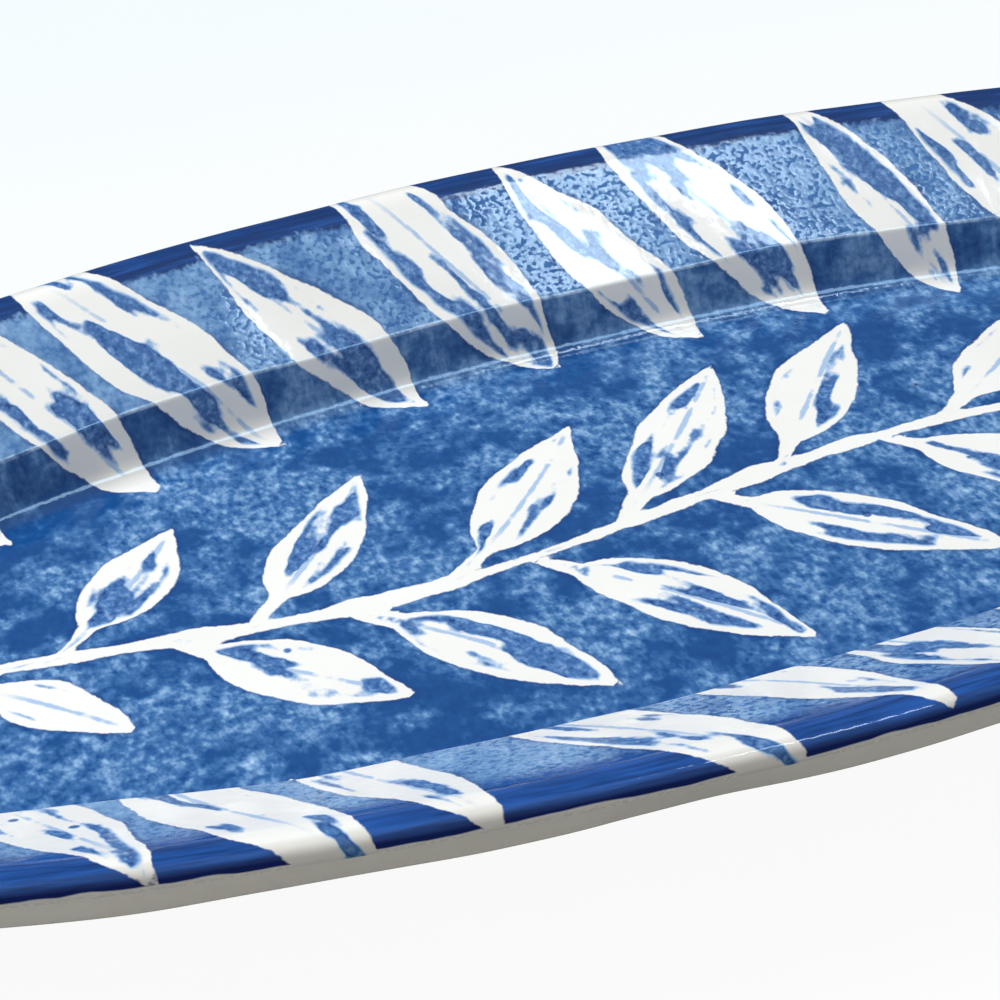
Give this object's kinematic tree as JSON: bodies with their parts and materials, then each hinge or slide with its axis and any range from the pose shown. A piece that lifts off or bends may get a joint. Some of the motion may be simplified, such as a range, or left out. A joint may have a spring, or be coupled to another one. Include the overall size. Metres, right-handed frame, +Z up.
{
  "type": "oval serving platter",
  "caption": "Long oval serving platter with a broad sloping rim, a sunk flat well and a low foot ring, in blue and white glazed earthenware.",
  "frame": {"origin": "on the table, under the middle of the platter", "axes": "+X along the platter's length, +Y across it, +Z up"},
  "size_m": [0.4498, 0.1798, 0.0352],
  "materials": {
    "white_clay": "fired white earthenware, under the glaze",
    "bare_clay": "fired white earthenware, bare and wiped",
    "decorated_glaze": "glossy glaze over white leaves on a sponged cobalt ground",
    "cobalt_band": "glossy dark cobalt, brushed round the lip",
    "white_glaze": "glossy white tin glaze"
  },
  "bodies": {
    "root": {"dish_body": "white_clay", "foot_ring": "bare_clay", "face_glaze": "decorated_glaze", "lip_band": "cobalt_band", "back_glaze": "white_glaze", "base_glaze": "white_glaze"}
  },
  "joints": []
}
